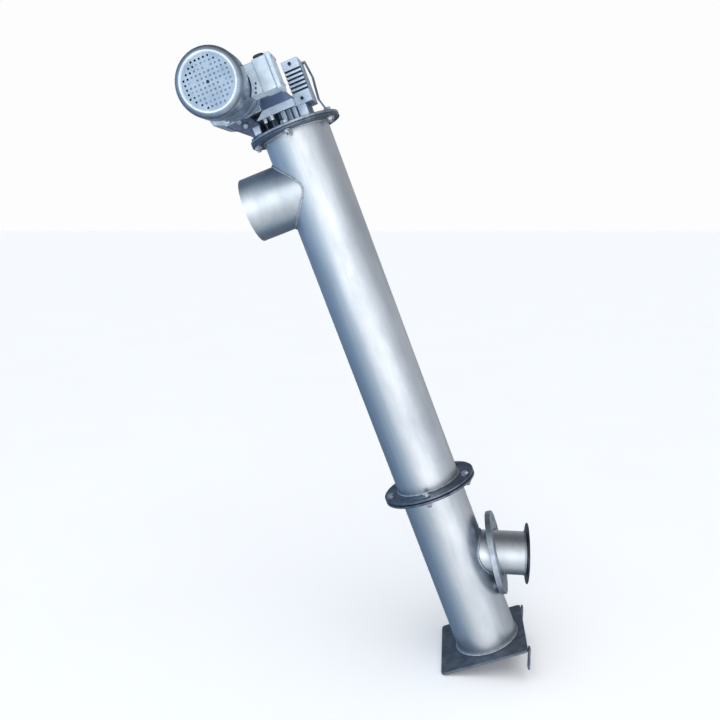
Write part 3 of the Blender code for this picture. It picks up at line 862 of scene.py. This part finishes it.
def cap_screw(size):
    """A socket head cap screw, seated on Z = 0, with its recess."""
    radius, height, socket_r = size * 0.78, size, size * 0.42
    bottom_edge, top_edge, socket_floor, narrowing, near = 0.0003, 0.0005, height * 0.45, 0.92, 1e-7

    def bearing(vert):
        return Vector((1, 0)).angle_signed(vert.co.xy)

    bm = bmesh.new()
    lathe(bm, [(radius - bottom_edge, 0), (radius, bottom_edge), (radius, height - top_edge),
               (radius - top_edge, height), (socket_r, height)], 24, closed=False)
    rim = [v for v in bm.verts if abs(v.co.z - height) < near and v.co.xy.length < size * 0.43]
    rim.sort(key=bearing)
    floor = [bm.verts.new((v.co.x * narrowing, v.co.y * narrowing, socket_floor)) for v in rim]
    for i in range(len(rim)):
        j = (i + 1) % len(rim)
        bm.faces.new((rim[i], rim[j], floor[j], floor[i]))
    bm.faces.new(floor)
    base = sorted((v for v in bm.verts if abs(v.co.z) < near), key=bearing)
    bm.faces.new(base)
    return bm


def hex_head(across, height):
    """A hexagon head on its washer, seated on Z = 0."""
    washer_t = 0.0012
    bm = bmesh.new()
    lathe(bm, ring_profile(across * 0.66, 0.0008, 0, washer_t, 0.0002), 24)
    hex_prism(bm, across, washer_t, washer_t + height)
    return bm


def out_of_front(y):
    """A frame whose Z looks out of a front face at this Y. Its X and Y are the tube's X and Z."""
    return TUBE_FRAME @ Matrix.Translation((0, y, 0)) @ Matrix.Rotation(pi / 2, 4, "X")


def out_of_right(x):
    """A frame whose Z looks out of a right-hand face at this X. Its -X and Y are the tube's Z and Y."""
    return TUBE_FRAME @ Matrix.Translation((x, 0, 0)) @ Matrix.Rotation(pi / 2, 4, "Y")


def soft_block(name, x, y, z, edge, segments=3):
    """A block between limits with all its edges rounded."""
    bm = bmesh.new()
    bmesh.ops.create_cube(bm, size=1.0)
    size = [high - low for low, high in (x, y, z)]
    centre = [(low + high) / 2 for low, high in (x, y, z)]
    bmesh.ops.transform(bm, matrix=Matrix.Translation(centre) @ Matrix.Diagonal((*size, 1)), verts=bm.verts)
    bmesh.ops.bevel(bm, geom=bm.edges[:], offset=edge, segments=segments, profile=0.5, affect="EDGES")
    return as_object(name, bm)


def make_drive_details():
    # Screws down the slanted lower-left front of the gear case, by X and Z
    chin = [(-0.1339, 1.5125, 0), (-0.1200, 1.5130, 0), (-0.1074, 1.5005, 0), (-0.0957, 1.4857, 0)]
    bolts_at("gear_case_screws", cap_screw(0.0074), chin, out_of_front(CASE_FRONT))

    # Pale strips round the foot of the gear case's front: a painted highlight where its edge catches the
    # light
    sunk = CASE_FRONT + 0.001
    for name, x, z in (("case_edge_upright", (-0.0500, -0.0478), (1.5058, 1.5355)),
                       ("case_edge_level", (-0.0805, -0.0503), (1.5058, 1.5082))):
        edge = soft_block(name, x, (CASE_FRONT - 0.0016, sunk), z, 0.0006, 2)
        finish_piece(edge, BOX_ENAMEL)

    # Studs and nuts between the drive plate and the gearbox's flange
    nut_across, stud_pitch, stud_top = 0.013, 0.0014, OUTPUT_FLANGE_LOW - 0.001
    stud = bmesh.new()
    thread(stud, 0.0040, DRIVE_HIGH, stud_top, stud_pitch)
    hex_prism(stud, nut_across, DRIVE_HIGH + 0.0002, DRIVE_HIGH + 0.0070)
    hex_prism(stud, nut_across, OUTPUT_FLANGE_LOW - 0.0105, OUTPUT_FLANGE_LOW - 0.0002, chamfer=False,
              turn=0.4)
    places = [(-0.052, -0.062, 0), (-0.0325, -0.070, 0), (-0.052, 0.052, 0), (-0.018, 0.062, 0),
              (0.022, 0.062, 0)]
    bolts_at("gearbox_studs", stud, places, TUBE_FRAME)
    clamp = bmesh.new()
    thread(clamp, 0.0038, DRIVE_HIGH, stud_top, stud_pitch)
    bolts_at("gearbox_clamp_screw", clamp, [(-0.0197, -0.069, 0)], TUBE_FRAME, BLACK_SCREW)

    # Cast feet under the gearbox's flange, the middle one in the darker enamel with painted shade, and the
    # pale boss at the foot of the gear case
    foot_z = (DRIVE_HIGH + 0.0004, OUTPUT_FLANGE_LOW - 0.0003)
    for name, x, y, look in (("flange_foot_left", (-0.0075, 0.0040), (-0.076, -0.0606), SILVER_ENAMEL),
                             ("flange_foot_middle", (0.0075, 0.0180), (-0.074, -0.0600), SHADED_ENAMEL),
                             ("flange_foot_right", (0.0208, 0.0310), (-0.072, -0.0570), SILVER_ENAMEL),
                             ("flange_foot_end", (0.0335, 0.0555), (-0.062, -0.0510), RIB_ENAMEL)):
        finish_piece(soft_block(name, x, y, foot_z, 0.0012), look)
    boss = soft_block("case_foot_boss", (-0.0835, -0.0660), (CASE_FRONT - 0.0045, sunk), (1.4565, 1.4765),
                      0.0022)
    finish_piece(boss, BOX_ENAMEL)

    pads = [(0.0522, 1.5827, 0), (0.0521, 1.4992, 0)]
    bolts_at("ribbed_block_screws", cap_screw(0.0050), pads, out_of_front(RIB_FRONT), BLACK_SCREW)
    corners = [(x, y, CASE_COVER_TOP) for x in (-0.130, -0.020) for y in (-0.056, 0.044)]
    bolts_at("case_cover_screws", hex_head(0.008, 0.0045), corners, TUBE_FRAME)


def make_terminal_box():
    """The box and its lid as castings with rounded edges, lid screws, and the screws of its foot."""
    box = soft_block("cast_terminal_box", BOX_X, BOX_Y, BOX_Z, 0.0022)
    finish_piece(box, BOX_ENAMEL, ("terminal_box",))
    y, z = ((low - LID_REACH, high + LID_REACH) for low, high in (BOX_Y, BOX_Z))
    lid = soft_block("cast_box_lid", LID_X, y, z, 0.0026)
    finish_piece(lid, BOX_ENAMEL, ("terminal_box_lid",))
    inset, screw_depth = 0.008, 0.0016
    screws = [(-z, y, 0) for y in (BOX_Y[0] + inset, BOX_Y[1] - inset)
              for z in (BOX_Z[0] + inset, BOX_Z[1] - inset)]
    lid_face = out_of_right(LID_X[1] - screw_depth)
    bolts_at("terminal_box_screws", cap_screw(0.004), screws, lid_face)
    foot = [(-0.0130, 1.5363, 0), (-0.0165, 1.5270, 0), (-0.0200, 1.5178, 0)]
    bolts_at("box_foot_screws", cap_screw(0.0026), foot, out_of_front(NECK_FRONT), BLACK_SCREW)


# The spigot and the motor's end shield take the darker enamel with painted shade
NODE_LOOKS = {
    "base_plate": DARK_STEEL, "front_leg": DARK_STEEL, "rear_leg": DARK_STEEL,
    "lower_tube_flange": FLANGE_STEEL, "upper_tube_flange": FLANGE_STEEL, "top_flange": FLANGE_STEEL,
    "drive_plate": DRIVE_PLATE_STEEL, "flange_gasket": GASKET, "side_strap": STRAP_STEEL,
    "screw_shaft": SCREW_STEEL, "screw_flight": SCREW_STEEL, "bottom_bearing": BEARING_IRON,
    "spigot": SHADED_ENAMEL, "output_flange": BAND_ENAMEL, "gear_case": CASE_ENAMEL,
    "gear_case_cover": SILVER_ENAMEL, "ribbed_block": RIB_ENAMEL, "motor_flange": SILVER_ENAMEL,
    "motor_end_shield": SHADED_ENAMEL, "terminal_box_neck": BOX_ENAMEL, "cable_gland": PLASTIC,
}


def dress_nodes():
    """Gives every CAD node that still shows its material, on its own object's slots."""
    for name, material in NODE_LOOKS.items():
        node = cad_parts[name]
        if not node.material_slots:
            node.data.materials.append(material)
        for material_slot in node.material_slots:
            material_slot.material = material


# The studio's light by its bearing round the tube, from the camera's side: (turns, colour)
STUDIO_LIGHT = (
    (0.00, "#6d747c"), (0.14, "#667c97"), (0.25, "#7d95af"), (0.33, "#a0b4c8"), (0.40, "#ccd8e2"),
    (0.46, "#fbfdff"), (0.54, "#ffffff"), (0.60, "#eceef1"), (0.67, "#bfc3c8"), (0.75, "#9a9da2"),
    (0.86, "#97989b"), (1.00, "#7c8187"),
)
STUDIO_STRENGTH = 1.95
# The same light by its height: (upward part of the direction mapped from -1..1 onto 0..1, share)
STUDIO_HEIGHT = (
    (0.0, 0.42), (0.25, 0.52), (0.36, 0.68), (0.47, 0.98), (0.54, 1.0), (0.66, 0.85), (0.80, 0.52),
    (0.92, 0.26), (1.0, 0.20),
)
BACKDROP = "#fdfdfe"
FLOOR_REACH, BACKDROP_R = 40.0, 60.0
PUMP_MIDDLE = (-0.25, 0, 0.75)
LIGHTS_AIM = (-0.25, 0, 0.8)


def make_world():
    """A soft studio: pale in front, dimmer and bluish to the left, neutral to the right, darker overhead."""
    world = bpy.data.worlds.new("studio")
    bpy.context.scene.world = world
    world.use_nodes = True
    tree = world.node_tree
    background = tree.nodes["Background"]
    direction = add(tree, "ShaderNodeTexCoord").outputs["Generated"]
    upright = add(tree, "ShaderNodeMapping", {"Vector": direction, "Rotation": (0, LEAN, 0)})
    apart = add(tree, "ShaderNodeSeparateXYZ", {"Vector": upright}).outputs
    front = add(tree, "ShaderNodeMath", {0: apart["Y"], 1: -1.0}, operation="MULTIPLY")
    angle = add(tree, "ShaderNodeMath", {0: apart["X"], 1: front}, operation="ARCTAN2")
    height = add(tree, "ShaderNodeSeparateXYZ", {"Vector": direction})
    towards = Vector(CAMERA_AT) - Vector(PUMP_MIDDLE)
    bearing = atan2(towards.x, -towards.y)
    colours = []
    for measure, low, high, stops in ((angle.outputs[0], bearing - pi, bearing + pi, STUDIO_LIGHT),
                                      (height.outputs["Z"], -1, 1, STUDIO_HEIGHT)):
        position = add(tree, "ShaderNodeMapRange", {
            "Value": measure, "From Min": low, "From Max": high, "To Min": 0, "To Max": 1})
        scale = add(tree, "ShaderNodeValToRGB", {"Fac": position})
        elements = scale.color_ramp.elements
        while len(elements) < len(stops):
            elements.new(0.5)
        for element, (at, value) in zip(elements, stops):
            element.position = at
            element.color = linear(value) if isinstance(value, str) else (value, value, value, 1)
        colours.append(scale.outputs["Color"])
    light, share = colours
    strength = add(tree, "ShaderNodeMath", {0: share, 1: STUDIO_STRENGTH}, operation="MULTIPLY")
    tree.links.new(light, background.inputs["Color"])
    tree.links.new(strength.outputs[0], background.inputs["Strength"])


def make_stage():
    """Plain pale floor, a pale backdrop that only the camera sees, soft lights and the camera."""
    low = cad_bounds[0][2]
    bm = bmesh.new()
    bmesh.ops.create_grid(bm, x_segments=2, y_segments=2, size=FLOOR_REACH)
    floor = as_object("floor", bm, Matrix.Translation((0, 0, low - 0.0005)))
    material, tree, shader, place = surface("pale_floor_paint", 0.0, turn=(0, 0, 0))
    soft = pattern(tree, place, 2, 2, 0.5)
    set_look(tree, shader, mottle(tree, soft, 0, 1, 1, "#f9fafb", "#f6f7f9"), (soft, 0.83, 0.87))
    shader.inputs["Specular IOR Level"].default_value = 0.0
    floor.data.materials.append(material)
    floor.visible_glossy = False

    bm = bmesh.new()
    bmesh.ops.create_uvsphere(bm, u_segments=48, v_segments=24, radius=BACKDROP_R)
    backdrop = as_object("backdrop", bm, Matrix.Identity(4))
    material = bpy.data.materials.new("pale_backdrop_paper")
    material.use_nodes = True
    tree = material.node_tree
    tree.nodes.clear()
    glow = add(tree, "ShaderNodeEmission", {"Color": linear(BACKDROP), "Strength": 1.0})
    add(tree, "ShaderNodeOutputMaterial", {"Surface": glow})
    backdrop.data.materials.append(material)
    for ray in ("diffuse", "glossy", "transmission", "volume_scatter", "shadow"):
        setattr(backdrop, "visible_" + ray, False)
    make_world()

    for name, kind, at, size, power in (
        ("key_softbox", "AREA", (-0.35, -3.3, 1.9), 1.1, 18),
        ("overhead", "SUN", (-0.4, -0.6, 4.0), radians(70), 1.85),
    ):
        light = bpy.data.lights.new(name, kind)
        light.energy = power
        if kind == "SUN":
            light.angle = size
        else:
            light.size = size
        lamp = in_scene(name, light)
        lamp.location = at
        lamp.rotation_euler = (Vector(at) - Vector(LIGHTS_AIM)).to_track_quat("Z", "Y").to_euler()
        lamp.visible_glossy = False

    camera_data = bpy.data.cameras.new("camera")
    camera_data.lens = CAMERA_LENS
    camera_data.sensor_width = 36.0
    camera_data.clip_end = 200.0
    camera = in_scene("camera", camera_data)
    camera.location = CAMERA_AT
    camera.rotation_euler = CAMERA_TURN
    bpy.context.scene.camera = camera
    bpy.context.scene.view_settings.view_transform = "Standard"


make_stage()
dress_nodes()
make_tube_shells()
make_welds()
make_collar()
make_loose_flange()
make_flange_bolts()
make_fan_cover()
make_motor_frame()
make_drive_details()
make_terminal_box()
